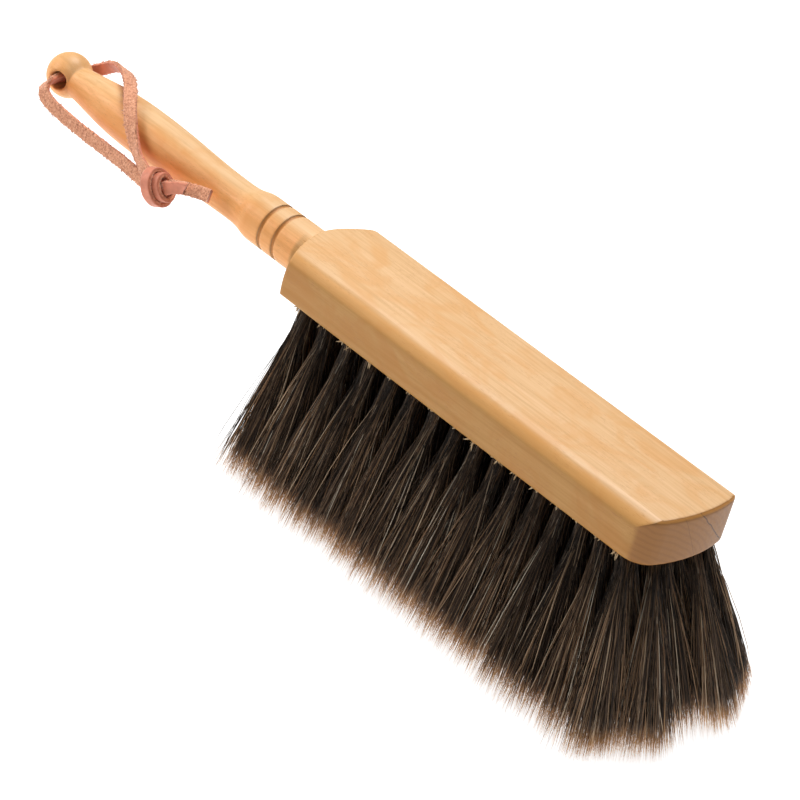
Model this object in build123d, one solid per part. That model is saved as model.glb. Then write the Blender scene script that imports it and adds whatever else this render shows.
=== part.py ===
from build123d import *
import math
import os

# A hand brush: one piece of beech, cut and turned to a block with a handle, drilled underneath
# for tufts of horsehair that small wire anchors hold, with a leather thong through the handle's
# ball end. Millimetres. X runs along the brush with the handle towards -X, Y runs across it and
# Z is up. The brush stands on its hair tips at Z = 0, with the origin amid them.

# Hair and tufting
HAIR_DROP = 66.0  # height of the block's underside above the tips
FIRST_TUFT_X = -95.2
TUFT_PITCH = 12.8  # along the block, at the shoulder
PITCH_LOSS = 0.095  # half of what each step towards the front is shorter than the last
ROW_PITCH = 10.4  # across the block, at the underside
TIP_ROW_PITCH = 19.6  # across the brush, at the tips
ROWS = (-2, -1, 0, 1, 2)
RANKS = 17
HOLE_RADIUS = 3.0
HOLE_DEPTH = 13.0
TUFT_GAP = 0.05  # tuft to hole wall
TIP_GAP = 0.2  # half the gap between neighbouring tips
STEADY_LEAN = 7.0  # every tip lies this far towards the front of its root
FRONT_LEAN = 23.0  # and the foremost tufts fan out this much further
FAN_START = 33.0  # x where that fan begins
FAN_LENGTH = 56.0

# Wire anchors
ANCHOR_LENGTH = 7.2
ANCHOR_HEIGHT = 1.8
ANCHOR_THICKNESS = 0.4
ANCHOR_COVER = 1.0  # hair between an anchor and the bottom of its hole

# Block
SHOULDER_X = -105.5  # where the neck enters the block
BLOCK_LENGTH = 200.0  # from there to the front corners
BLOCK_WIDTH = 50.0
BLOCK_THICKNESS = 19.5
CROWN = 0.8  # rise of the top across its width
FRONT_BULGE = 4.8  # rise of the front end's arc
FRONT_CORNER_RADIUS = 10.5
TOP_EDGE_RADIUS = 7.0
RIM_RADIUS = 1.5  # of every other edge of the block
SHOULDER_SLOPE = 0.55  # how far forward the turned shoulder runs for each mm of radius
SHOULDER_EASE = 3.3  # from SHOULDER_X to where that cone meets the neck

# Handle
AXIS_Z = HAIR_DROP + 6.4
NECK_RADIUS = 10.2
NECK_OVERLAP = 6.0  # the turning runs this far into the block
BALL_RADIUS = 9.5
BALL_X = SHOULDER_X - 147.6  # the ball's middle
HANDLE_SLOPE = 0.4  # degrees that the handle falls from the block to its ball end
CREASE_RADIUS = 6.7
CREASE_SLOPE = 0.12  # of the grip as it leaves the ball
GROOVE_OFFSETS = (11.1, 19.0)  # behind the shoulder
GROOVE_RADIUS = 0.9
RUN_OUT_RADIUS = 12.0  # of the cutter that planed the underside, where it left the neck
RUN_OUT_START = 3.0  # in front of the shoulder
CORD_HOLE_X = BALL_X + 2.2
CORD_HOLE_Z = 71.6
CORD_HOLE_RADIUS = 3.65
CORD_HOLE_ROUNDING = 0.5

# Grip outline: distance behind the shoulder and radius, from near the ball to the flare
GRIP_OUTLINE = [
    (131.0, 7.9),
    (120.0, 9.3),
    (99.0, 10.3),
    (78.0, 9.8),
    (60.0, 8.8),
    (42.0, 8.35),
    (34.5, 8.9),
    (27.5, 10.2),
]

# Thong: a 5 by 2 mm lace, here as a round cord of the same section area
LACE_WIDTH = 5.0
LACE_THICKNESS = 2.0
CORD_RADIUS = math.sqrt(LACE_WIDTH * LACE_THICKNESS / math.pi)
ARC_SHARE = 0.45

NEAR_ROUTE = [
    (-252.4, 0.0, 71.6),
    (-252.4, -5.2, 71.6),
    (-252.4, -11.0, 71.0),
    (-251.6, -14.3, 68.7),
    (-248.0, -15.5, 66.1),
    (-239.5, -15.8, 65.1),
    (-225.5, -15.6, 64.1),
    (-210.4, -15.5, 64.1),
    (-197.5, -16.2, 64.6),
    (-188.0, -17.2, 64.8),
    (-175.0, -18.4, 64.6),
]
FAR_ROUTE = [
    (-252.4, 0.0, 71.6),
    (-252.4, 5.4, 71.6),
    (-251.8, 10.4, 71.8),
    (-249.0, 13.6, 74.2),
    (-243.1, 13.4, 78.7),
    (-235.0, 10.4, 82.3),
    (-225.5, 5.0, 84.7),
    (-217.1, -1.0, 84.8),
    (-209.4, -7.2, 82.8),
    (-202.2, -11.6, 78.3),
    (-195.7, -13.6, 72.8),
    (-189.3, -15.6, 69.9),
    (-182.5, -18.2, 69.2),
    (-176.0, -19.8, 68.2),
]
KNOT_CENTRE = Vector(-171.7, -18.9, 68.1)
KNOT_AXIS = Vector(0.9, 0.06, 0.43)  # from the legs towards the tails
KNOT_TALL = Vector(0.40, 0.44, -0.90)  # the long way across the knot
KNOT_RADII = (8.5, 7.0)
KNOT_LENGTH = 9.0
KNOT_ROUNDING = 2.2
TAIL_ROOT_DEPTH = 3.0  # how far inside the knot's centre a tail starts
TAIL_OFFSET = 1.6  # of each tail from the knot's axis
SHORT_TAIL_TIP = Vector(-159.2, -18.4, 74.3)
LONG_TAIL_TIP = Vector(-150.4, -13.7, 75.0)


def bar(top_edge_radius):
    """The crowned bar that the block is cut from, its long top edges rounded."""
    half = BLOCK_WIDTH / 2
    edge_z = HAIR_DROP + BLOCK_THICKNESS - CROWN
    section = make_face(
        Plane.YZ
        * (
            Polyline((half, edge_z), (half, HAIR_DROP), (-half, HAIR_DROP), (-half, edge_z))
            + ThreePointArc((-half, edge_z), (0, HAIR_DROP + BLOCK_THICKNESS), (half, edge_z))
        )
    )
    if top_edge_radius:
        section = fillet(section.vertices().group_by(Axis.Z)[-1], top_edge_radius)
    length = BLOCK_LENGTH + BLOCK_WIDTH
    return Pos(SHOULDER_X - NECK_RADIUS, 0, 0) * extrude(section, length, dir=(1, 0, 0))


def block():
    """The block: a bar with a bowed, lightly eased front end and a turned shoulder."""
    half = BLOCK_WIDTH / 2
    back_x = SHOULDER_X - NECK_RADIUS / 2
    corner_x = SHOULDER_X + BLOCK_LENGTH
    plan = make_face(
        Polyline((corner_x, half), (back_x, half), (back_x, -half), (corner_x, -half))
        + ThreePointArc((corner_x, -half), (corner_x + FRONT_BULGE, 0), (corner_x, half))
    )
    plan = fillet(plan.vertices().group_by(Axis.X)[-1], FRONT_CORNER_RADIUS)
    slab = bar(0) & extrude(plan, AXIS_Z + BLOCK_THICKNESS)
    rim = slab.edges().filter_by(
        lambda edge: abs(edge.tangent_at(0.5).Z) < 0.5 and edge.center().X > back_x + 1
    )
    slab = fillet(rim, RIM_RADIUS)
    return (slab & bar(TOP_EDGE_RADIUS)) - shoulder_cut()


def shoulder_cut():
    """What the lathe took off around the neck: everything behind a cone about its axis."""
    outer = BLOCK_WIDTH
    behind = SHOULDER_X - BLOCK_WIDTH
    tip = SHOULDER_X + SHOULDER_EASE - SHOULDER_SLOPE * NECK_RADIUS
    outline = Polyline(
        (behind, AXIS_Z),
        (tip, AXIS_Z),
        (tip + SHOULDER_SLOPE * outer, AXIS_Z + outer),
        (behind, AXIS_Z + outer),
        close=True,
    )
    return revolve(make_face(Plane.XZ * outline), handle_axis())


def handle_axis():
    """The lathe's axis; the handle is tilted off it only once it is turned."""
    return Axis((0, 0, AXIS_Z), (1, 0, 0))


def handle():
    """The turned handle: ball end, swelling grip, waist, flare, two grooves and the neck."""
    ball_end = (BALL_X - BALL_RADIUS, AXIS_Z)
    ball_side = (BALL_X, AXIS_Z + BALL_RADIUS)
    crease_reach = math.sqrt(BALL_RADIUS**2 - CREASE_RADIUS**2)
    crease = (BALL_X + crease_reach, AXIS_Z + CREASE_RADIUS)
    grip = [(SHOULDER_X - back, AXIS_Z + radius) for back, radius in GRIP_OUTLINE]
    neck_end = SHOULDER_X + NECK_OVERLAP
    outline = (
        ThreePointArc(ball_end, ball_side, crease)
        + Spline(crease, *grip, tangents=[(1, CREASE_SLOPE), (1, 0)])
        + Polyline(grip[-1], (neck_end, AXIS_Z + NECK_RADIUS), (neck_end, AXIS_Z), ball_end)
    )
    turned = revolve(make_face(Plane.XZ * outline), handle_axis())
    for offset in GROOVE_OFFSETS:
        turned -= Pos(SHOULDER_X - offset, 0, AXIS_Z) * Rotation(0, 90, 0) * Torus(
            NECK_RADIUS, GROOVE_RADIUS
        )
    return turned.rotate(Axis((SHOULDER_X, 0, AXIS_Z), (0, -1, 0)), HANDLE_SLOPE)


def cord_hole():
    """The hole across the ball, a little in front of its middle."""
    across = Pos(CORD_HOLE_X, 0, CORD_HOLE_Z) * Rotation(90, 0, 0)
    return across * Cylinder(CORD_HOLE_RADIUS, 3 * BALL_RADIUS)


def hole_mouths(stock):
    """The edges that the thong bends over as it leaves its hole."""
    middles = ((edge, edge.bounding_box().center()) for edge in stock.edges())
    return [
        edge
        for edge, middle in middles
        if middle.X < BALL_X + BALL_RADIUS and abs(middle.Y) > CORD_HOLE_RADIUS
    ]


def run_out():
    """What the cutter took off under the neck as it planed the underside flat."""
    centre_x = SHOULDER_X + RUN_OUT_START
    rounding = (
        Pos(centre_x, 0, HAIR_DROP - RUN_OUT_RADIUS)
        * Rotation(90, 0, 0)
        * Cylinder(RUN_OUT_RADIUS, BLOCK_WIDTH)
    )
    level = Pos(centre_x, 0, HAIR_DROP) * Box(
        BLOCK_WIDTH, BLOCK_WIDTH, RUN_OUT_RADIUS, align=(Align.MIN, Align.CENTER, Align.MAX)
    )
    return rounding + level


def tuft_ranks():
    """Steps from the first tuft, and row, of each tuft; ranks are chevrons like the shoulder."""
    ranks = []
    for rank in range(RANKS):
        members = []
        for row in ROWS:
            outer_row = abs(row) == max(ROWS)
            if outer_row and rank == RANKS - 1:
                continue
            members.append((rank + abs(row) / 2, row))
        ranks.append(members)
    return ranks


def root_x(steps):
    """Where a tuft stands along the block: the steps shorten towards the front."""
    return FIRST_TUFT_X + (TUFT_PITCH - PITCH_LOSS * steps) * steps


def tip_x(steps):
    """Where its tip lies: steadily in front of the root, and further at the front."""
    x = root_x(steps)
    fan = min(max((x - FAN_START) / FAN_LENGTH, 0.0), 1.0)
    return x + STEADY_LEAN + FRONT_LEAN * fan**2


def tuft_axis(steps, row):
    """Root, tip and the direction from tip to root of one tuft."""
    root = Vector(root_x(steps), row * ROW_PITCH, HAIR_DROP)
    tip = Vector(tip_x(steps), row * TIP_ROW_PITCH, 0)
    return root, tip, (root - tip).normalized()


def tuft_hole(steps, row):
    root, tip, up = tuft_axis(steps, row)
    start = root - up * HOLE_DEPTH
    return Plane(origin=start, x_dir=(1, 0, 0), z_dir=up) * Cylinder(
        HOLE_RADIUS, 2 * HOLE_DEPTH, align=(Align.CENTER, Align.CENTER, Align.MIN)
    )


def anchor(steps, row):
    """A flat wire driven across the bottom of the hole, its ends biting the wood."""
    root, tip, up = tuft_axis(steps, row)
    centre = root + up * (HOLE_DEPTH - ANCHOR_COVER - ANCHOR_HEIGHT / 2)
    return Plane(origin=centre, x_dir=(1, 0, 0), z_dir=up) * Box(
        ANCHOR_THICKNESS, ANCHOR_LENGTH, ANCHOR_HEIGHT
    )


def tuft(steps, row):
    """Hair folded over its anchor, straight in the hole and fanning out to its own tip area."""
    root, tip, up = tuft_axis(steps, row)
    tip_pitch = tip_x(steps + 0.5) - tip_x(steps - 0.5)
    radius = HOLE_RADIUS - TUFT_GAP
    bottom = Plane(origin=root + up * (HOLE_DEPTH - TUFT_GAP), x_dir=(1, 0, 0), z_dir=up)
    mouth = Plane(origin=root - up * HOLE_RADIUS / 2, x_dir=(1, 0, 0), z_dir=up)
    spread = Plane(origin=tip, x_dir=(1, 0, 0), z_dir=(0, 0, 1))
    sections = [
        bottom * Circle(radius),
        mouth * Circle(radius),
        spread * Ellipse(tip_pitch / 2 - TIP_GAP, TIP_ROW_PITCH / 2 - TIP_GAP),
    ]
    return loft(sections, ruled=True) - anchor(steps, row)


def beech_stock():
    """Block and handle in one piece, with every hole drilled."""
    stock = block() + handle() - run_out()
    stock -= cord_hole()
    stock = fillet(hole_mouths(stock), CORD_HOLE_ROUNDING)
    holes = [tuft_hole(steps, row) for members in tuft_ranks() for steps, row in members]
    return stock - holes


def corner_radii(route):
    """For each corner, an arc that takes ARC_SHARE of the shorter run beside it."""
    points = [Vector(*point) for point in route]
    radii = []
    for before, corner, after in zip(points, points[1:], points[2:]):
        arriving = corner - before
        leaving = after - corner
        half_turn = math.radians(arriving.get_angle(leaving)) / 2
        shorter = min(arriving.length, leaving.length)
        radii.append(ARC_SHARE * shorter / math.tan(half_turn))
    return radii


def cord(name, route):
    """A round cord along a route of straight runs joined by arcs."""
    radii = corner_radii(route)
    path = FilletPolyline(*route, radius=radii)
    start = Plane(origin=path @ 0, z_dir=path % 0)
    tube = sweep(start * Circle(CORD_RADIUS), path=path)
    expected = math.pi * CORD_RADIUS**2 * path.length
    print(name, "length %.1f mm" % path.length, "volume ratio %.4f" % (tube.volume / expected))
    print("  radii", ["%.1f" % radius for radius in radii])
    return tube


def knot():
    """The overhand knot as one rounded lump."""
    plane = Plane(origin=KNOT_CENTRE, x_dir=KNOT_TALL, z_dir=KNOT_AXIS)
    lump = plane * extrude(Ellipse(*KNOT_RADII), KNOT_LENGTH / 2, both=True)
    return fillet(lump.edges().filter_by(GeomType.ELLIPSE), KNOT_ROUNDING)


def tail(tip, side):
    """A free end of the lace from the knot to its tip."""
    across = KNOT_TALL.cross(KNOT_AXIS).normalized()
    root = KNOT_CENTRE + KNOT_AXIS.normalized() * TAIL_ROOT_DEPTH + across * side * TAIL_OFFSET
    along = tip - root
    strip = Plane(origin=root, x_dir=across, z_dir=along) * Box(
        LACE_THICKNESS, LACE_WIDTH, along.length, align=(Align.CENTER, Align.CENTER, Align.MIN)
    )
    return strip - knot()


def main():
    os.makedirs("parts", exist_ok=True)
    nodes = {"beech_stock": beech_stock()}
    for number, members in enumerate(tuft_ranks(), start=1):
        tufts = [tuft(steps, row) for steps, row in members]
        anchors = [anchor(steps, row) for steps, row in members]
        nodes["tufts_%02d" % number] = Compound(children=tufts)
        nodes["anchors_%02d" % number] = Compound(children=anchors)
    nodes["thong_near_leg"] = cord("near leg", NEAR_ROUTE) - knot()
    nodes["thong_far_leg"] = cord("far leg", FAR_ROUTE) - knot()
    nodes["thong_knot"] = knot()
    nodes["thong_short_tail"] = tail(SHORT_TAIL_TIP, 1)
    nodes["thong_long_tail"] = tail(LONG_TAIL_TIP, -1)
    for name, shape in nodes.items():
        export_step(shape, "parts/%s.step" % name)


main()
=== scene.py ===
import math

import bpy
import numpy as np
from mathutils import Matrix, Vector, noise


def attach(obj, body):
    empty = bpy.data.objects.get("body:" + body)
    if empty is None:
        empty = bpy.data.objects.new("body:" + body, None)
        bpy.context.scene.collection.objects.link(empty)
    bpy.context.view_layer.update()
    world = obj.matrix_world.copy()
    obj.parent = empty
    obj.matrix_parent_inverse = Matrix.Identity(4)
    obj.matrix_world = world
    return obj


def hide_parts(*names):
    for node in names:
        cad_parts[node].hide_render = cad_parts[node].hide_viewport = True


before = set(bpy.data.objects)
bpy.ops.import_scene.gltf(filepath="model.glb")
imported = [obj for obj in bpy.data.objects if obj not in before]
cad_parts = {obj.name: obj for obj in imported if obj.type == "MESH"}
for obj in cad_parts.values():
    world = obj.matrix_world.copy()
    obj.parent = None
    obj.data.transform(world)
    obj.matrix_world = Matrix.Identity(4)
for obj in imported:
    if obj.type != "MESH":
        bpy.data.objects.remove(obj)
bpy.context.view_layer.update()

MM = 0.001
SEED = 41

# Camera
CAMERA_PLACE = Vector((0.6399, -0.8784, 0.6845))
CAMERA_AZIMUTH = 37.91
CAMERA_ELEVATION = 29.93
CAMERA_ROLL = 16.39
CAMERA_LENS = 154.12

# Brush, as in the CAD model
UNDERSIDE_Z = 66 * MM
AXIS_Z = 72.4 * MM
SHOULDER_X = -105.5 * MM
FRONT_X = 94.5 * MM
GROOVES_X = (SHOULDER_X - 11.1 * MM, SHOULDER_X - 19.0 * MM)
NECK_RADIUS = 10.2 * MM
HOLE_RADIUS = 3 * MM
# Drying checks in the front's end grain: a point's y and z, slope, half width and darkness
CHECKS = [(5.7 * MM, 78.3 * MM, -0.90, 0.45 * MM, 0.85), (-1.0 * MM, 70.5 * MM, -1.6, 0.35 * MM, 0.35)]

# Lace
LACE_WIDTH = 5 * MM
LACE_THICKNESS = 2 * MM
NEAR_ROUTE = [
    (-0.2524, 0.0, 0.0716),
    (-0.2524, -0.0052, 0.0716),
    (-0.2524, -0.0110, 0.0710),
    (-0.2516, -0.0143, 0.0687),
    (-0.2480, -0.0155, 0.0661),
    (-0.2395, -0.0158, 0.0651),
    (-0.2255, -0.0156, 0.0641),
    (-0.2104, -0.0155, 0.0641),
    (-0.1975, -0.0162, 0.0646),
    (-0.1880, -0.0172, 0.0648),
    (-0.1750, -0.0184, 0.0646),
]
FAR_ROUTE = [
    (-0.2524, 0.0, 0.0716),
    (-0.2524, 0.0054, 0.0716),
    (-0.2518, 0.0104, 0.0718),
    (-0.2490, 0.0136, 0.0742),
    (-0.2431, 0.0134, 0.0787),
    (-0.2350, 0.0104, 0.0823),
    (-0.2255, 0.0050, 0.0847),
    (-0.2171, -0.0010, 0.0848),
    (-0.2094, -0.0072, 0.0828),
    (-0.2022, -0.0116, 0.0783),
    (-0.1957, -0.0136, 0.0728),
    (-0.1893, -0.0156, 0.0699),
    (-0.1825, -0.0182, 0.0692),
    (-0.1760, -0.0198, 0.0682),
]
# The way that the rough side of the lace faces at each point of its route
NEAR_FACING = [
    (-0.9, 0.0, 0.4),
    (-0.9, -0.2, 0.4),
    (-0.7, -0.7, 0.3),
    (-0.2, -0.95, 0.3),
    (0.0, -0.95, 0.3),
    (0.0, -1.0, 0.2),
    (0.0, -1.0, 0.15),
    (0.0, -1.0, 0.2),
    (0.0, -1.0, 0.25),
    (0.0, -1.0, 0.3),
    (0.0, -1.0, 0.3),
]
FAR_FACING = [
    (-0.8, 0.0, -0.5),
    (-0.8, 0.1, -0.5),
    (-0.7, 0.6, -0.4),
    (-0.2, 1.0, 0.2),
    (-0.1, 0.9, 0.6),
    (-0.1, 0.7, 0.9),
    (0.0, 0.3, 1.0),
    (0.0, -0.1, 1.0),
    (0.0, -0.5, 0.9),
    (0.0, -0.9, 0.5),
    (-0.2, -1.0, 0.1),
    (-0.6, -0.8, 0.0),
    (-0.4, -0.9, 0.2),
    (0.0, -1.0, 0.4),
]
KNOT_CENTRE = Vector((-0.1717, -0.0189, 0.0681))
KNOT_AXIS = Vector((0.9, 0.06, 0.43)).normalized()
KNOT_TALL = Vector((0.40, 0.44, -0.90)).normalized()
SHORT_TAIL_TIP = Vector((-0.1592, -0.0184, 0.0743))
LONG_TAIL_TIP = Vector((-0.1504, -0.0137, 0.0750))

# Hair
HAIRS_IN_TUFT = 720
HAIR_RADIUS = 0.145 * MM
TIP_REACH = np.array((1.2, 3.6)) * MM  # how far past its CAD cone a tuft's tips spread
# The foremost tips make a line across the brush that falls back past a middle stretch
FRONT_TIPS_X = 128 * MM
FRONT_TIPS_FLAT = 22 * MM  # half that stretch
FRONT_TIPS_ROUND = 0.65  # how far it falls back for each metre beyond
FRONT_TIPS_PULL = 0.8  # share of any overreach that is taken back
WIDEST = 60 * MM  # no hair reaches further from the middle plane
STRAY_SHARE = 0.03
PALE_SHARE = 0.075
PALE_WIDTH = 1.45  # pale hairs are this much thicker
WISPS = 26  # in a tuft; the hairs of a wisp share their shift, drop and tone
HAIR_STATIONS = 6

# Splinters that the drill left round the holes
OUTER_ROWS_Y = 18 * MM  # the near and far rows' holes are further than this from the middle plane
BURR_SHARE = 0.25  # of the inner rows' holes that have any
BURR_SIZES = (0.8 * MM, 1.2 * MM, 1.8 * MM)


def smooth(value):
    """A smooth step from 0 to 1 as the value goes from 0 to 1, for numbers and arrays."""
    clipped = np.clip(value, 0.0, 1.0)
    return clipped * clipped * (3 - 2 * clipped)


# Meshes


def mesh_piece(name, vertices, faces, attributes, material):
    """A smooth-shaded mesh object from arrays: faces is a list of index arrays, one for each size."""
    mesh = bpy.data.meshes.new(name)
    mesh.vertices.add(len(vertices))
    mesh.vertices.foreach_set("co", np.asarray(vertices, np.float32).ravel())
    corners = np.concatenate([group.ravel() for group in faces])
    sizes = np.concatenate([np.full(len(group), group.shape[1]) for group in faces])
    mesh.loops.add(len(corners))
    mesh.loops.foreach_set("vertex_index", corners.astype(np.int32))
    mesh.polygons.add(len(sizes))
    starts = np.concatenate([[0], np.cumsum(sizes)[:-1]])
    mesh.polygons.foreach_set("loop_start", starts.astype(np.int32))
    mesh.polygons.foreach_set("use_smooth", np.ones(len(sizes), bool))
    for key, values in attributes.items():
        attribute = mesh.attributes.new(key, "FLOAT", "POINT")
        attribute.data.foreach_set("value", np.asarray(values, np.float32).ravel())
    mesh.update(calc_edges=True)
    mesh.validate()
    mesh.materials.append(material)
    piece = bpy.data.objects.new(name, mesh)
    bpy.context.scene.collection.objects.link(piece)
    return piece


def joined(parts):
    """One set of vertices, faces and attributes from several."""
    vertices, faces, attributes = [], [], {}
    offset = 0
    for part_vertices, part_faces, part_attributes in parts:
        vertices.append(part_vertices)
        faces += [group + offset for group in part_faces]
        for key, values in part_attributes.items():
            attributes.setdefault(key, []).append(values)
        offset += len(part_vertices)
    merged = {key: np.concatenate(values) for key, values in attributes.items()}
    return np.concatenate(vertices), faces, merged


def strands(paths, radii, sides=3):
    """Thin pointed prisms along paths, an array of (strand, station, xyz), and their faces."""
    count, stations = paths.shape[:2]
    along = paths[:, -1] - paths[:, 0]
    along /= np.linalg.norm(along, axis=1, keepdims=True)
    helper = np.where(np.abs(along[:, :1]) < 0.8, [[1.0, 0.0, 0.0]], [[0.0, 1.0, 0.0]])
    first = np.cross(along, helper)
    first /= np.linalg.norm(first, axis=1, keepdims=True)
    second = np.cross(along, first)
    angles = np.arange(sides) * 2 * math.pi / sides
    ring = (
        np.cos(angles)[None, :, None] * first[:, None]
        + np.sin(angles)[None, :, None] * second[:, None]
    )
    body = paths[:, :-1, None, :] + ring[:, None] * radii[:, :-1, None, None]
    per_strand = (stations - 1) * sides + 1
    vertices = np.concatenate([body.reshape(count, -1, 3), paths[:, -1:]], axis=1)
    base = (np.arange(count) * per_strand)[:, None, None]
    ring_start = (np.arange(stations - 2) * sides)[None, :, None]
    here = np.arange(sides)[None, None, :]
    after = (here + 1) % sides
    quads = np.stack(
        [
            base + ring_start + here,
            base + ring_start + after,
            base + ring_start + sides + after,
            base + ring_start + sides + here,
        ],
        axis=-1,
    ).reshape(-1, 4)
    last_ring = base[:, 0] + (stations - 2) * sides
    point = last_ring + sides + 0 * here[0]
    tips = np.stack([last_ring + here[0], last_ring + after[0], point], axis=-1).reshape(-1, 3)
    roots = (base[:, 0] + here[0, :, ::-1]).reshape(-1, sides)
    return vertices.reshape(-1, 3), [quads, tips, roots]


def per_vertex(values, stations, sides=3):
    """Spreads one value for each strand, or for each station of it, over a strand's vertices."""
    values = np.asarray(values, float)
    if values.ndim == 1:
        values = np.repeat(values[:, None], stations, axis=1)
    rings = np.repeat(values[:, :-1], sides, axis=1)
    return np.concatenate([rings, values[:, -1:]], axis=1).ravel()


# Shader helpers


class Nodes:
    """Short ways to add and link shader nodes in one material."""

    def __init__(self, name):
        self.material = bpy.data.materials.new(name)
        self.material.use_nodes = True
        self.tree = self.material.node_tree
        self.shader = self.tree.nodes["Principled BSDF"]

    def add(self, kind, inputs=(), **settings):
        node = self.tree.nodes.new("ShaderNode" + kind)
        for key, value in settings.items():
            setattr(node, key, value)
        for key, value in dict(inputs).items():
            self.feed(node.inputs[key], value)
        return node

    def feed(self, socket, value):
        if isinstance(value, bpy.types.NodeSocket):
            self.tree.links.new(value, socket)
        else:
            socket.default_value = value

    def maths(self, operation, *values):
        node = self.add("Math", operation=operation)
        for socket, value in zip(node.inputs, values):
            self.feed(socket, value)
        return node.outputs[0]

    def step(self, value, low, high, start=0.0, end=1.0):
        """Goes smoothly from start to end as the value goes from low to high."""
        inputs = {
            "Value": value,
            "From Min": low,
            "From Max": high,
            "To Min": start,
            "To Max": end,
        }
        return self.add("MapRange", inputs, interpolation_type="SMOOTHSTEP").outputs["Result"]

    def mix(self, factor, first, second, blend="MIX"):
        node = self.add("Mix", data_type="RGBA", blend_type=blend)
        self.feed(node.inputs["Factor"], factor)
        self.feed(node.inputs[6], first)
        self.feed(node.inputs[7], second)
        return node.outputs[2]

    def attribute(self, name):
        return self.add("Attribute", attribute_name=name).outputs["Fac"]

    def place(self):
        """Position on the object, in metres, and its three parts."""
        position = self.add("TexCoord").outputs["Object"]
        parts = self.add("SeparateXYZ", {"Vector": position}).outputs
        return position, parts["X"], parts["Y"], parts["Z"]

    def scaled(self, position, factors):
        return self.add("Mapping", {"Vector": position, "Scale": factors}).outputs["Vector"]

    def noise(self, position, scale, detail=3.0, roughness=0.5, distortion=0.0):
        values = {
            "Vector": position,
            "Scale": scale,
            "Detail": detail,
            "Roughness": roughness,
            "Distortion": distortion,
        }
        return self.add("TexNoise", values).outputs["Fac"]

    def ramp(self, factor, stops, interpolation="LINEAR"):
        node = self.add("ValToRGB", {"Fac": factor})
        node.color_ramp.interpolation = interpolation
        elements = node.color_ramp.elements
        while len(elements) < len(stops):
            elements.new(0.5)
        for element, (place, colour) in zip(elements, stops):
            element.position = place
            element.color = (*colour, 1)
        return node.outputs["Color"]

    def bump(self, height, strength, distance, **others):
        values = {"Height": height, "Strength": strength, "Distance": distance, **others}
        return self.add("Bump", values).outputs["Normal"]

    def surface(self, **values):
        for key, value in values.items():
            self.feed(self.shader.inputs[key.replace("_", " ")], value)
        return self.material


# Camera, floor and light


def make_camera():
    azimuth, elevation, roll = (
        math.radians(angle) for angle in (CAMERA_AZIMUTH, CAMERA_ELEVATION, CAMERA_ROLL)
    )
    level = Vector((math.cos(azimuth), math.sin(azimuth), 0))
    away = Vector((math.sin(azimuth), -math.cos(azimuth), 0))
    back = away * math.cos(elevation) + Vector((0, 0, math.sin(elevation)))
    right = level * math.cos(roll) + back.cross(level) * math.sin(roll)
    data = bpy.data.cameras.new("camera")
    data.lens = CAMERA_LENS
    data.sensor_width = 36
    data.clip_start = 0.05
    camera = bpy.data.objects.new("camera", data)
    turn = Matrix((right, back.cross(right), back)).transposed().to_4x4()
    camera.matrix_world = Matrix.Translation(CAMERA_PLACE) @ turn
    bpy.context.scene.collection.objects.link(camera)
    bpy.context.scene.camera = camera


def area_light(name, place, target, size, power, colour=(1, 1, 1)):
    data = bpy.data.lights.new(name, "AREA")
    data.shape = "DISK"
    data.size = size
    data.energy = power
    data.color = colour
    light = bpy.data.objects.new(name, data)
    light.location = place
    light.rotation_euler = (Vector(target) - Vector(place)).to_track_quat("-Z", "Y").to_euler()
    bpy.context.scene.collection.objects.link(light)


def make_studio():
    """A white, lit table under a large soft light above and behind, and a fill at the ball's end."""
    world = bpy.data.worlds.new("studio")
    world.use_nodes = True
    background = world.node_tree.nodes["Background"]
    background.inputs["Color"].default_value = (1, 1, 1, 1)
    background.inputs["Strength"].default_value = 0.13
    bpy.context.scene.world = world
    bpy.context.scene.view_settings.view_transform = "Standard"
    area_light("overhead", (-0.45, 0.40, 1.45), (-0.08, 0, 0.05), 0.9, 25.5)
    area_light("end_fill", (-1.2, -0.75, 0.65), (-0.15, 0, 0.07), 0.7, 9.5)

    paper = Nodes("floor_paper")
    position = paper.place()[0]
    mottle = paper.noise(position, 4.0)
    white = paper.ramp(mottle, [(0.3, (0.40, 0.40, 0.40)), (0.7, (0.42, 0.42, 0.42))])
    paper.surface(Base_Color=white, Roughness=0.9, Emission_Color=white, Emission_Strength=2.35)
    half = 6.0
    corners = np.array([(-half, -half, 0), (half, -half, 0), (half, half, 0), (-half, half, 0)])
    floor = mesh_piece("floor", corners, [np.array([[0, 1, 2, 3]])], {}, paper.material)


# Materials


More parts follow.
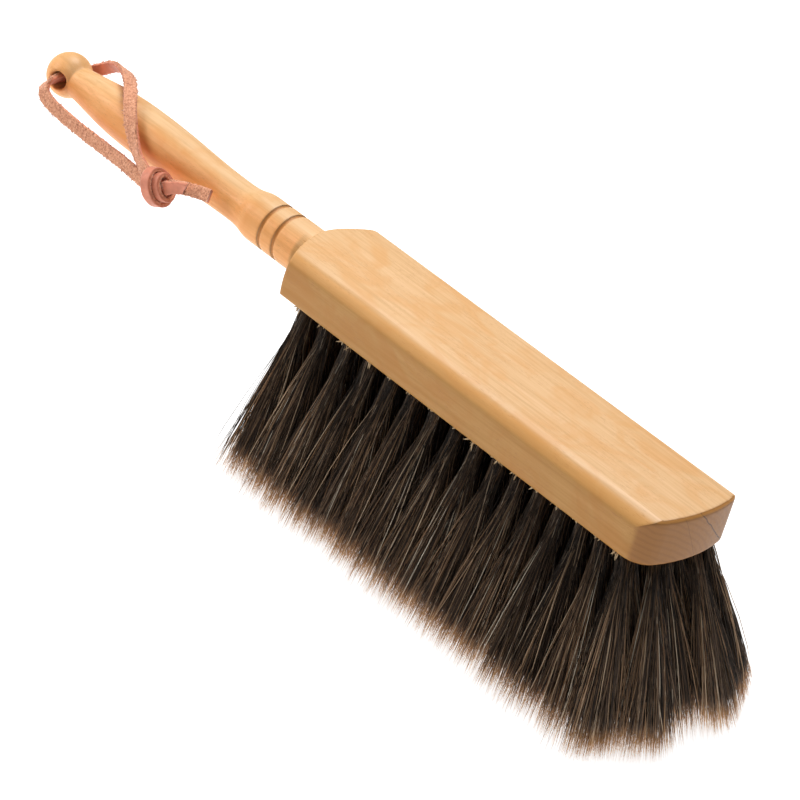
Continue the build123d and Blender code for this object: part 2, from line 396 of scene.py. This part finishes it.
def beech_colour(wood, position, x, normal):
    """Long grain: fine lines along X, a blotchy figure and ray flecks on the sides; the sides also carry
    painted shade, darker and deeper on the block and redder on the handle.
    """
    lines = wood.noise(wood.scaled(position, (22, 700, 700)), 1.0, 3, 0.6, 0.3)
    colour = wood.ramp(
        lines,
        [(0.30, (0.65, 0.385, 0.175)), (0.5, (0.73, 0.450, 0.220)), (0.72, (0.79, 0.500, 0.265))],
    )
    blotches = wood.noise(wood.scaled(position, (45, 75, 75)), 1.0, 3, 0.6, 0.8)
    rosy = wood.maths("MULTIPLY", wood.step(blotches, 0.40, 0.66), 0.5)
    colour = wood.mix(rosy, colour, (0.68, 0.325, 0.095, 1))
    grain = wood.noise(wood.scaled(position, (420, 4200, 4200)), 1.0, 1, 0.4, 0.2)
    gather = wood.step(wood.noise(wood.scaled(position, (60, 160, 160)), 1.0, 1), 0.40, 0.6)
    flecks = wood.maths("MULTIPLY", wood.step(grain, 0.60, 0.70), gather)
    sideways = wood.step(wood.maths("ABSOLUTE", normal["Y"]), 0.4, 0.8, 0.4, 0.9)
    flecks = wood.maths("MULTIPLY", flecks, sideways)
    on_block = wood.step(x, SHOULDER_X - 2 * MM, SHOULDER_X)
    # Painted shade: faces turned sideways are multiplied by a darker, deeper tint on the block and a
    # redder one on the handle, standing in for how they are lit.
    side_shade_tint = wood.mix(on_block, (1.12, 0.84, 0.55, 1), (0.66, 0.54, 0.30, 1))
    side_shaded = wood.mix(1.0, colour, side_shade_tint, "MULTIPLY")
    colour = wood.mix(wood.step(wood.maths("ABSOLUTE", normal["Y"]), 0.30, 0.95), colour, side_shaded)
    flecks = wood.maths("MULTIPLY", flecks, wood.step(on_block, 0.0, 1.0, 0.35, 1.0))
    return wood.mix(flecks, colour, (0.42, 0.185, 0.055, 1)), lines, flecks


def end_grain_colour(wood, position, y, z):
    """The bar's cut end: darker, with growth rings that curve up to the right, and a season check."""
    ring_centre = wood.add(
        "CombineXYZ",
        {"X": 0.0, "Y": wood.maths("ADD", y, 34 * MM), "Z": wood.maths("SUBTRACT", z, 30 * MM)},
    ).outputs[0]
    distance = wood.add("VectorMath", {0: ring_centre}, operation="LENGTH").outputs["Value"]
    wobble = wood.maths("MULTIPLY", wood.noise(position, 45.0, 3), 16.0)
    phase = wood.maths("MULTIPLY_ADD", distance, 2500.0, wobble)
    rings = wood.maths("MULTIPLY", wood.step(wood.maths("SINE", phase), -0.2, 1.0), 0.3)
    colour = wood.mix(rings, (0.37, 0.160, 0.040, 1), (0.25, 0.100, 0.025, 1))
    pores = wood.maths("MULTIPLY", wood.step(wood.noise(position, 2600.0, 1), 0.5, 0.75), 0.3)
    colour = wood.mix(pores, colour, (0.34, 0.15, 0.05, 1))
    for low_y, low_z, slope, half_width, depth in CHECKS:
        rise = wood.maths("MULTIPLY_ADD", wood.maths("SUBTRACT", y, low_y), slope, low_z)
        bend = wood.maths("MULTIPLY_ADD", wood.noise(position, 260.0, 2), 1.6 * MM, -0.8 * MM)
        away = wood.maths("ABSOLUTE", wood.maths("SUBTRACT", wood.maths("SUBTRACT", z, rise), bend))
        line = wood.step(away, 0.3 * half_width, half_width, depth, 0.0)
        colour = wood.mix(line, colour, (0.10, 0.045, 0.02, 1))
    return colour


def beech_material():
    """Oiled beech: pale long grain, darker end grain in front, darker grooves in the neck."""
    wood = Nodes("beech")
    position, x, y, z = wood.place()
    normal = wood.add("SeparateXYZ", {"Vector": wood.add("NewGeometry").outputs["Normal"]}).outputs
    base, lines, flecks = beech_colour(wood, position, x, normal)

    at_front = wood.step(x, FRONT_X - 14 * MM, FRONT_X - 9 * MM)
    endwise = wood.maths("MULTIPLY", wood.step(normal["X"], 0.20, 0.42), at_front)
    base = wood.mix(endwise, base, end_grain_colour(wood, position, y, z))
    backward = wood.step(normal["X"], -0.55, -0.85, 0.0, 0.55)
    turned_end = wood.maths("MULTIPLY", backward, wood.step(x, SHOULDER_X - 1 * MM, SHOULDER_X))
    base = wood.mix(turned_end, base, (0.62, 0.29, 0.085, 1))
    # Painted light: the slanting faces of the block's rounded long edges are mixed towards a saturated
    # orange, as they look under the light.
    slanting = wood.step(normal["Z"], 0.25, 0.5)
    not_level = wood.step(normal["Z"], 0.75, 0.95, 1.0, 0.0)
    along_block = wood.step(x, SHOULDER_X, SHOULDER_X + 8 * MM, 0.0, 0.40)
    painted_edge_light = wood.maths("MULTIPLY", wood.maths("MULTIPLY", slanting, not_level), along_block)
    base = wood.mix(painted_edge_light, base, (0.84, 0.40, 0.11, 1))

    off_axis = wood.add(
        "CombineXYZ", {"X": 0.0, "Y": y, "Z": wood.maths("SUBTRACT", z, AXIS_Z)}
    ).outputs[0]
    radius = wood.add("VectorMath", {0: off_axis}, operation="LENGTH").outputs["Value"]
    sunk = wood.step(radius, NECK_RADIUS - 0.5 * MM, NECK_RADIUS + 0.1 * MM, 1.0, 0.0)
    for groove_x in GROOVES_X:
        away = wood.maths("ABSOLUTE", wood.maths("SUBTRACT", x, groove_x))
        near = wood.step(away, 0.6 * MM, 1.5 * MM, 0.75, 0.0)
        base = wood.mix(wood.maths("MULTIPLY", near, sunk), base, (0.56, 0.24, 0.06, 1))

    height = wood.maths("MULTIPLY_ADD", lines, 0.4, wood.maths("MULTIPLY", flecks, -0.5))
    softened = wood.add("Bevel", {"Radius": 1.8 * MM}, samples=8).outputs["Normal"]
    return wood.surface(
        Base_Color=base,
        Roughness=wood.step(lines, 0.3, 0.7, 0.52, 0.42),
        Normal=wood.bump(height, 0.2, 0.15 * MM, Normal=softened),
        Specular_IOR_Level=0.32,
        Coat_Weight=0.06,
        Coat_Roughness=0.35,
    )


def leather_material():
    """Lace of leather from vegetable tanning: smooth grain on one side, pale rough fibres on the other and
    the edges.
    """
    hide = Nodes("thong_leather")
    position = hide.place()[0]
    rough_side = hide.attribute("rough_side")
    fibre = hide.attribute("fibre")
    clouds = hide.noise(position, 260.0, 3)
    clumps = hide.noise(position, 1300.0, 3, 0.65, 0.4)
    grain_colour = hide.ramp(clouds, [(0.3, (0.52, 0.155, 0.078)), (0.7, (0.72, 0.240, 0.135))])
    suede = hide.ramp(
        clumps,
        [
            (0.34, (0.40, 0.150, 0.075)),
            (0.44, (0.58, 0.240, 0.132)),
            (0.54, (0.72, 0.330, 0.185)),
            (0.68, (0.86, 0.460, 0.290)),
        ],
    )
    colour = hide.mix(hide.step(rough_side, 0.25, 0.75), grain_colour, suede)
    colour = hide.mix(hide.maths("MULTIPLY", fibre, 0.5), colour, (0.66, 0.33, 0.23, 1))
    height = hide.mix(rough_side, hide.noise(position, 1800.0, 2), clumps)
    return hide.surface(
        Base_Color=colour,
        Roughness=hide.step(rough_side, 0.2, 0.8, 0.5, 0.9),
        Normal=hide.bump(height, 0.5, 0.25 * MM),
        Specular_IOR_Level=0.4,
        Sheen_Weight=0.25,
        Sheen_Roughness=0.5,
    )


def hair_material():
    """Horsehair: mostly near black, some brown, grey and tawny hairs, with sun-bleached ginger ends."""
    hair = Nodes("horsehair")
    tone = hair.attribute("tone")
    to_tip = hair.attribute("to_tip")
    colour = hair.ramp(
        tone,
        [
            (0.00, (0.008, 0.006, 0.005)),
            (0.34, (0.026, 0.017, 0.012)),
            (0.50, (0.110, 0.070, 0.046)),
            (0.66, (0.250, 0.165, 0.105)),
            (0.80, (0.400, 0.225, 0.120)),
            (0.90, (0.680, 0.490, 0.320)),
            (1.00, (0.900, 0.800, 0.650)),
        ],
    )
    ends = hair.ramp(tone, [(0.0, (0.34, 0.120, 0.028)), (1.0, (0.85, 0.46, 0.17))])
    bleached = hair.step(to_tip, 1.0 * MM, 14.0 * MM, 1.0, 0.0)
    colour = hair.mix(bleached, colour, ends)
    position, _, _, z = hair.place()
    shade = hair.step(z, UNDERSIDE_Z - 34 * MM, UNDERSIDE_Z - 4 * MM, 1.0, 0.30)
    shade_grey = hair.add("CombineColor", {0: shade, 1: shade, 2: shade}).outputs[0]
    colour = hair.mix(1.0, colour, shade_grey, "MULTIPLY")
    mottle = hair.noise(hair.scaled(position, (900, 900, 120)), 1.0, 1)
    colour = hair.mix(0.2, colour, hair.ramp(mottle, [(0.3, (0, 0, 0)), (0.7, (0.12, 0.08, 0.05))]), "ADD")
    return hair.surface(Base_Color=colour, Roughness=0.42, Specular_IOR_Level=0.35)


def anchor_material():
    """Drawn steel wire: bright, with fine scratches along it."""
    steel = Nodes("anchor_wire")
    position = steel.place()[0]
    scratches = steel.noise(steel.scaled(position, (4000, 250, 4000)), 1.0, 2)
    colour = steel.ramp(scratches, [(0.3, (0.40, 0.39, 0.37)), (0.7, (0.62, 0.61, 0.58))])
    return steel.surface(
        Base_Color=colour,
        Metallic=1.0,
        Roughness=steel.step(scratches, 0.3, 0.7, 0.3, 0.5),
        Normal=steel.bump(scratches, 0.2, 0.05 * MM),
    )


def chip_material():
    """Raw torn beech."""
    chip = Nodes("raw_beech")
    position = chip.place()[0]
    fibres = chip.noise(chip.scaled(position, (2200, 2200, 500)), 1.0, 3)
    colour = chip.ramp(fibres, [(0.3, (0.36, 0.22, 0.10)), (0.7, (0.66, 0.50, 0.30))])
    return chip.surface(Base_Color=colour, Roughness=0.85, Normal=chip.bump(fibres, 0.3, 0.1 * MM))


# Thong


def route_line(name, route, resolution):
    """Points along the smooth line whose control points are the route's points."""
    data = bpy.data.curves.new(name, "CURVE")
    data.dimensions = "3D"
    data.resolution_u = resolution
    spline = data.splines.new("NURBS")
    spline.points.add(len(route) - 1)
    for point, place in zip(spline.points, route):
        point.co = (*place, 1)
    spline.order_u = 3
    spline.use_endpoint_u = True
    curve = bpy.data.objects.new(name, data)
    mesh = bpy.data.meshes.new_from_object(curve)
    line = np.array([vertex.co for vertex in mesh.vertices], float)
    bpy.data.objects.remove(curve)
    bpy.data.curves.remove(data)
    bpy.data.meshes.remove(mesh)
    return line


def route_facing(facing, count):
    """The rough side's direction at count even steps of the line's parameter."""
    last = len(facing) - 1
    places = np.concatenate([[0], np.arange(last - 1) + 0.5, [last - 1]])
    steps = np.linspace(0, last - 1, count)
    return np.stack([np.interp(steps, places, column) for column in np.array(facing, float).T], axis=1)


def unit(vectors):
    return vectors / np.linalg.norm(vectors, axis=-1, keepdims=True)


def lace_section(across=14, through=5):
    """Points round the lace's section as (across, through, rough side), both from -0.5 to 0.5."""
    top = [(w, 0.5, 1.0) for w in np.linspace(-0.5, 0.5, across)]
    right = [(0.5, h, 0.5 + h) for h in np.linspace(0.5, -0.5, through)[1:-1]]
    bottom = [(w, -0.5, 0.0) for w in np.linspace(0.5, -0.5, across)]
    left = [(-0.5, h, 0.5 + h) for h in np.linspace(-0.5, 0.5, through)[1:-1]]
    section = np.array(top + right + bottom + left)
    corner = np.abs(section[:, 0]) > 0.499
    section[corner & (np.abs(section[:, 1]) > 0.499), :2] *= (0.985, 0.86)
    return section


def even_steps(line, facing, step):
    """The line and its facing read again at even steps of length."""
    lengths = np.concatenate([[0], np.cumsum(np.linalg.norm(np.diff(line, axis=0), axis=1))])
    places = np.linspace(0, lengths[-1], int(round(lengths[-1] / step)) + 1)

    def read(table):
        return np.stack([np.interp(places, lengths, column) for column in table.T], axis=1)

    return read(line), read(facing)


def ribbon(line, facing, seed, width=LACE_WIDTH, thickness=LACE_THICKNESS, end_cut=0.0, rough=0.22 * MM):
    """A flat lace along a line: rough on the facing side and at its edges. end_cut skews its last end."""
    tangent = unit(np.gradient(line, axis=0))
    facing = unit(facing - (facing * tangent).sum(1, keepdims=True) * tangent)
    across = np.cross(tangent, facing)
    section = lace_section()
    rings = len(line)
    length = np.linalg.norm(np.diff(line, axis=0), axis=1).sum()
    share = np.linspace(0, 1, rings)
    wide = np.array([noise.noise((seed, 30 * s * length / width * 0.12, 0.3)) for s in share])
    half = section[None, :, 0] * (width * (1 + 0.10 * wide))[:, None]
    high = np.repeat(section[None, :, 1] * thickness, rings, axis=0)
    slide = np.zeros_like(half)
    last_third = slice(-rings // 3, None)
    grows = smooth(np.linspace(0, 1, len(slide[last_third])))[:, None]
    slide[last_third] = half[last_third] * end_cut * grows
    centre = line[:, None] + tangent[:, None] * slide[..., None]
    points = centre + across[:, None] * half[..., None] + facing[:, None] * high[..., None]
    side = np.repeat(section[None, :, 2], rings, axis=0)
    edge = smooth((np.abs(section[:, 0]) - 0.40) / 0.1)[None]
    shift = np.zeros_like(points)
    for ring in range(rings):
        for index in range(section.shape[0]):
            place = points[ring, index] / (0.75 * MM)
            lump = noise.noise(place + seed)
            crumb = noise.noise(place * 2.7 - seed)
            roughness = rough * (0.25 + 0.75 * side[ring, index])
            outward = facing[ring] * math.copysign(1.0, section[index, 1])
            shift[ring, index] = outward * (0.6 * lump + 0.6 * crumb) * roughness
            fray = edge[0, index] * side[ring, index] * 3.2 * rough
            shift[ring, index] += across[ring] * math.copysign(fray * crumb, section[index, 0])
    points = points + shift
    size = section.shape[0]
    start = (np.arange(rings - 1) * size)[:, None]
    here = np.arange(size)[None]
    after = (here + 1) % size
    quads = np.stack([start + here, start + after, start + size + after, start + size + here], axis=-1)
    caps = np.stack([np.arange(size), (rings - 1) * size + np.arange(size)[::-1]])
    flat = points.reshape(-1, 3)
    attributes = {"rough_side": side.ravel(), "fibre": np.zeros(len(flat))}
    frames = (points, across, facing, tangent, section)
    return (flat, [quads.reshape(-1, 4), caps], attributes), frames


def fibres(frames, count, random, longest=1.9 * MM):
    """Torn fibres that stand off the lace's rough edges and, shorter, off its rough side."""
    points, across, facing, tangent, section = frames
    rings = random.integers(2, len(points) - 2, count)
    edge = random.random(count) < 0.72
    rough_edge = np.flatnonzero((np.abs(section[:, 0]) > 0.45) & (section[:, 2] >= 0.5))
    rough_face = np.flatnonzero(section[:, 2] == 1.0)
    places = np.where(edge, random.choice(rough_edge, count), random.choice(rough_face, count))
    start = points[rings, places]
    sign = np.sign(section[places, 0])[:, None]
    lean = random.normal(0, 1, (count, 3))
    way = across[rings] * sign * np.where(edge, 1.0, 0.25)[:, None]
    way = way + facing[rings] * np.where(edge, 0.35, 0.7)[:, None]
    way = unit(way + tangent[rings] * lean[:, :1] * 0.9 + lean * 0.25)
    length = np.clip(random.exponential(0.30, count), 0.12, 1.0) * longest
    length *= np.where(edge, 1.0, 0.45)
    curl = unit(lean) * length[:, None] * 0.35
    stations = 5
    share = np.linspace(-0.15, 1, stations)[None, :, None]
    paths = start[:, None] + way[:, None] * share * length[:, None, None] + curl[:, None] * share**2
    taper = np.linspace(1, 0.35, stations)[None] * random.uniform(0.08, 0.24, (count, 1)) * MM
    vertices, faces = strands(paths, taper)
    total = len(vertices)
    return vertices, faces, {"rough_side": np.ones(total), "fibre": np.ones(total)}


def thong_leg(name, route, facing, leather, seed, fibre_count):
    line = route_line(name, route, 24)
    even_line, even_facing = even_steps(line, route_facing(facing, len(line)), 0.35 * MM)
    strip, frames = ribbon(even_line, even_facing, seed)
    random = np.random.default_rng(SEED + seed)
    vertices, faces, attributes = joined([strip, fibres(frames, fibre_count, random)])
    leg = mesh_piece(name, vertices, faces, attributes, leather)
    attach(leg, "thong")
    return leg, [tuple(point) for point in line]


def knot_point(turn, tall_radius, side_radius, along):
    """A point round the knot's axis: turn in radians from its tall way towards its near side."""
    side = KNOT_TALL.cross(KNOT_AXIS).normalized()
    return (
        KNOT_CENTRE
        + KNOT_AXIS * along
        + KNOT_TALL * (tall_radius * math.cos(turn))
        + side * (side_radius * math.sin(turn))
    )


def make_knot(leather):
    """The lace wound twice round itself: an outer turn, then an inner one that ends under the tails."""
    turns = 2.25
    start_turn = math.radians(-140)
    count = 170
    line, facing = [], []
    for step in range(count):
        share = step / (count - 1)
        turn = start_turn + share * turns * 2 * math.pi
        rise = float(smooth(share / 0.12))
        inward = float(smooth((share - 0.40) / 0.16))
        dive = float(smooth((share - 0.86) / 0.14))
        tall = (4.6 + 2.9 * rise - 2.1 * inward - 2.0 * dive) * MM
        side = (3.4 + 2.6 * rise - 2.0 * inward - 1.6 * dive) * MM
        along = (-3.6 + 1.8 * rise + 2.9 * inward - 0.8 * dive) * MM
        point = knot_point(turn, tall, side, along)
        centre = knot_point(turn, 0.0, 0.0, along)
        line.append(point)
        facing.append(centre - point)
    line, facing = even_steps(np.array(line), np.array(facing), 0.4 * MM)
    strip, _ = ribbon(line, facing, 5, width=4.6 * MM, thickness=1.8 * MM, rough=0.10 * MM)
    core_line = np.linspace(KNOT_CENTRE - KNOT_AXIS * 5 * MM, KNOT_CENTRE + KNOT_AXIS * 3.5 * MM, 30)
    core_facing = np.repeat([KNOT_TALL.cross(KNOT_AXIS)], 30, axis=0)
    core, _ = ribbon(core_line, core_facing, 6, width=5.6 * MM, thickness=4.2 * MM)
    vertices, faces, attributes = joined([strip, core])
    knot = mesh_piece("thong_knot_wraps", vertices, faces, attributes, leather)
    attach(knot, "thong")
    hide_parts("thong_knot")
    return knot


def make_tail(name, node, tip, side, faces_out, bow, end_cut, leather, seed):
    """A free end of the lace, from inside the knot to its cut tip."""
    outward = KNOT_TALL.cross(KNOT_AXIS).normalized()
    root = KNOT_CENTRE + KNOT_AXIS * 0.5 * MM + outward * side
    share = np.linspace(0, 1, 60)[:, None]
    line = np.array(root) + np.array(tip - root) * share
    line = line + np.array(bow) * (4 * share * (1 - share))
    facing = np.repeat([faces_out], 60, axis=0)
    even_line, even_facing = even_steps(line, facing, 0.3 * MM)
    strip, frames = ribbon(even_line, even_facing, seed, end_cut=end_cut, rough=0.22 * MM)
    random = np.random.default_rng(SEED + seed)
    vertices, faces, attributes = joined([strip, fibres(frames, 60, random, 1.1 * MM)])
    tail = mesh_piece(name, vertices, faces, attributes, leather)
    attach(tail, "thong")
    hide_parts(node)
    return tail


def make_thong():
    leather = leather_material()
    near, near_path = thong_leg("near_leg_lace", NEAR_ROUTE, NEAR_FACING, leather, 1, 520)
    far, far_path = thong_leg("far_leg_lace", FAR_ROUTE, FAR_FACING, leather, 2, 560)
    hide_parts("thong_near_leg")
    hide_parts("thong_far_leg")
    knot = make_knot(leather)
    short_tail = make_tail(
        "short_tail_lace", "thong_short_tail", SHORT_TAIL_TIP, 1.4 * MM, (0.3, 0.9, 0.4),
        (0, 0, 0.0006), 0.75, leather, 3,
    )
    long_tail = make_tail(
        "long_tail_lace", "thong_long_tail", LONG_TAIL_TIP, -1.2 * MM, (-0.1, -0.8, 0.6),
        (0, 0, 0.0008), 0.15, leather, 4,
    )


# Hair


def cad_tufts(node):
    """Root centre, tip centre and the tip's half sizes of each tuft in a CAD node."""
    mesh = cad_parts[node].data
    points = np.array([vertex.co for vertex in mesh.vertices], float)
    keys = {}
    merged = np.array([keys.setdefault(tuple(np.round(point, 6)), len(keys)) for point in points])
    group = np.arange(len(keys))

    def leader(index):
        while group[index] != index:
            group[index] = group[group[index]]
            index = group[index]
        return index

    for edge in mesh.edges:
        first, second = (leader(merged[index]) for index in edge.vertices)
        group[max(first, second)] = min(first, second)
    leaders = np.array([leader(index) for index in merged])
    tufts = []
    for number in np.unique(leaders):
        cone = points[leaders == number]
        tip = cone[cone[:, 2] < 0.1 * MM]
        top = cone[cone[:, 2] > UNDERSIDE_Z + 6 * MM]
        tip_centre = (tip.min(0) + tip.max(0)) / 2
        top_centre = (top.min(0) + top.max(0)) / 2
        share = (UNDERSIDE_Z - tip_centre[2]) / (top_centre[2] - tip_centre[2])
        root = tip_centre + (top_centre - tip_centre) * share
        tufts.append((root, tip_centre, (tip.max(0) - tip.min(0)) / 2))
    return tufts


def tuft_hairs(root, tip, half_size, random):
    """Paths, tones and relative widths of one tuft's hairs, which fan out from the hole."""
    count = HAIRS_IN_TUFT
    up = unit(root - tip)
    first = unit(np.cross(up, (0.0, 1.0, 0.0)))
    second = np.cross(up, first)
    ring = np.sqrt(random.random(count)) * 0.93
    angle = random.uniform(0, 2 * math.pi, count)
    inside = np.stack([ring * np.cos(angle), ring * np.sin(angle)], axis=1) * HOLE_RADIUS
    start = root + up * 3 * MM + inside[:, :1] * first + inside[:, 1:] * second

    wisp = (((angle + random.normal(0, 0.5, count)) / (2 * math.pi)) * WISPS).astype(int) % WISPS
    wisp_shift = random.normal(0, 1.7, (WISPS, 2)) * MM
    wisp_drop = random.uniform(0, 1.5, WISPS) * MM
    crossing = random.uniform(-1, 1, (count, 2))
    spread = inside / HOLE_RADIUS * 0.85 + crossing * 0.45
    jitter = random.normal(0, 1.5, (count, 2)) * MM + wisp_shift[wisp]
    reach = half_size[:2] + TIP_REACH
    end = np.empty((count, 3))
    end[:, :2] = tip[:2] + spread * reach + jitter
    front = FRONT_TIPS_X - FRONT_TIPS_ROUND * np.maximum(np.abs(end[:, 1]) - FRONT_TIPS_FLAT, 0)
    end[:, 0] -= FRONT_TIPS_PULL * np.maximum(end[:, 0] - front, 0)
    end[:, 2] = 0.2 * MM + wisp_drop[wisp] + np.abs(random.normal(0, 0.8, count)) * MM

    share = np.linspace(0, 1, HAIR_STATIONS)[None, :, None]
    line = start[:, None] + (end - start)[:, None] * share
    lean = end - start
    lean[:, 2] = 0
    bow = 4 * share * (1 - share)
    outward = lean * 0.045
    side = random.normal(0, 1, (count, 3)) * 1.0 * MM
    side[:, 2] = 0
    wave_turn = random.uniform(0, 2 * math.pi, (count, 1, 1))
    wave = np.sin(share * random.uniform(4, 9, (count, 1, 1)) + wave_turn) - np.sin(wave_turn)
    waviness = random.normal(0, 0.22, (count, 1, 3)) * MM
    paths = line + (outward + side)[:, None] * bow + wave * waviness * share

    stray = random.random(count) < STRAY_SHARE
    push = random.normal(0, 1, (count, 3)) * 2.6 * MM
    push[:, 2] = np.abs(push[:, 2]) * 1.5
    paths = paths + (stray[:, None] * push)[:, None] * share**2
    wisp_tone = random.random(WISPS)
    tone = np.clip(0.50 * random.random(count) + 0.50 * wisp_tone[wisp] - 0.04, 0, 0.85)
    pale = random.random(count) < PALE_SHARE
    tone = np.where(pale, random.uniform(0.8, 1.0, count), tone)
    return paths, tone, np.where(pale, PALE_WIDTH, 1.0)


def make_hair():
    """One piece for each rank of tufts, standing for its CAD node."""
    material = hair_material()
    random = np.random.default_rng(SEED)
    for node in sorted(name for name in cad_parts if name.startswith("tufts_")):
        tufts = [tuft_hairs(*cone, random) for cone in cad_tufts(node)]
        paths, tones, widths = (np.concatenate(part) for part in zip(*tufts))
        paths[..., 1] = np.clip(paths[..., 1], -WIDEST, WIDEST)
        paths[..., 2] = np.maximum(paths[..., 2], 0.1 * MM)
        thickness = random.uniform(0.75, 1.2, (len(paths), 1)) * HAIR_RADIUS * widths[:, None]
        taper = np.linspace(1.0, 0.85, HAIR_STATIONS)[None] * thickness
        vertices, faces = strands(paths, taper)
        to_tip = np.linalg.norm(paths - paths[:, -1:], axis=2)
        attributes = {
            "tone": per_vertex(tones, HAIR_STATIONS),
            "to_tip": per_vertex(to_tip, HAIR_STATIONS),
        }
        hair = mesh_piece(node.replace("tufts", "hair"), vertices, faces, attributes, material)
        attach(hair, "brush")
        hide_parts(node)


# Torn wood at the mouths of the holes


def make_burrs():
    """Pale splinters at the holes' outward rims: at every hole of the two outer rows, at some inside."""
    random = np.random.default_rng(SEED + 9)
    paths, radii = [], []
    for node in sorted(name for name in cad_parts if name.startswith("tufts_")):
        for root, _, _ in cad_tufts(node):
            outer_row = abs(root[1]) > OUTER_ROWS_Y
            if not outer_row and random.random() > BURR_SHARE:
                continue
            size = random.choice(BURR_SIZES)
            for _ in range(random.integers(4, 9)):
                turn = random.normal(-1.9, 0.7) if root[1] < 0 else random.normal(1.9, 0.7)
                out = np.array((math.cos(turn), math.sin(turn), 0.0))
                start = root + out * (HOLE_RADIUS + 0.1 * MM) + (0, 0, 0.25 * MM)
                away = unit(out * random.uniform(-0.1, 0.7) + random.normal(0, 0.35, 3) + (0, 0, -1.0))
                curl = random.normal(0, 0.35, 3) * size
                share = np.linspace(0, 1, 5)[:, None]
                paths.append(start + away * share * size * random.uniform(0.7, 1.9) + curl * share**2)
                radii.append(np.array((0.5, 1.0, 0.9, 0.6, 0.2)) * random.uniform(0.22, 0.45) * MM)
    vertices, faces = strands(np.array(paths), np.array(radii), 4)
    burrs = mesh_piece("hole_burrs", vertices, faces, {}, chip_material())
    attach(burrs, "brush")


# Finishing the CAD's own nodes


def dress_cad_nodes():
    """Give the CAD's wood and anchors their looks. The other nodes have stand-ins and stay hidden."""
    beech = beech_material()
    steel = anchor_material()
    for name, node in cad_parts.items():
        if name == "beech_stock":
            finish = beech
        elif name.startswith("anchors_"):
            finish = steel
        else:
            continue
        node.data.materials.clear()
        node.data.materials.append(finish)


make_camera()
make_thong()
dress_cad_nodes()
make_hair()
make_burrs()
make_studio()
